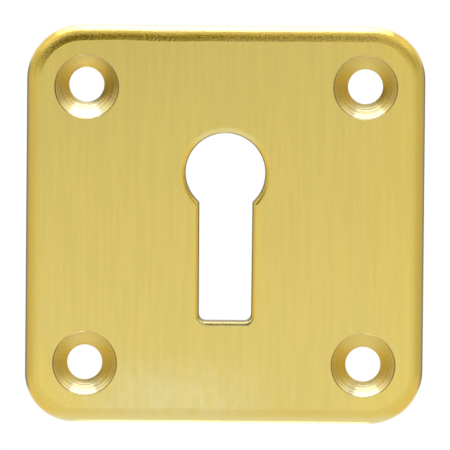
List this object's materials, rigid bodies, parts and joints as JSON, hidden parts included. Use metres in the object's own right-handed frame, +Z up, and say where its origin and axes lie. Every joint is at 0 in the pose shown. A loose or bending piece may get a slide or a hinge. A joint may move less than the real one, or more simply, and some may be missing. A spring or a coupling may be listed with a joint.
{
  "type": "keyhole escutcheon",
  "caption": "Square brass plate with rounded corners and a rolled front edge, a keyhole in its middle and a countersunk screw hole in each corner.",
  "frame": {"origin": "centre of the four screw holes, on the plate's back face", "axes": "-Y out of the front face, +Z up towards the keyhole's round eye, +X to the right as seen from the front"},
  "size_m": [0.05, 0.0025, 0.05],
  "materials": {
    "brass": "satin, brushed upright, with polished edges"
  },
  "bodies": {
    "root": {"escutcheon_plate": "brass"}
  },
  "joints": []
}
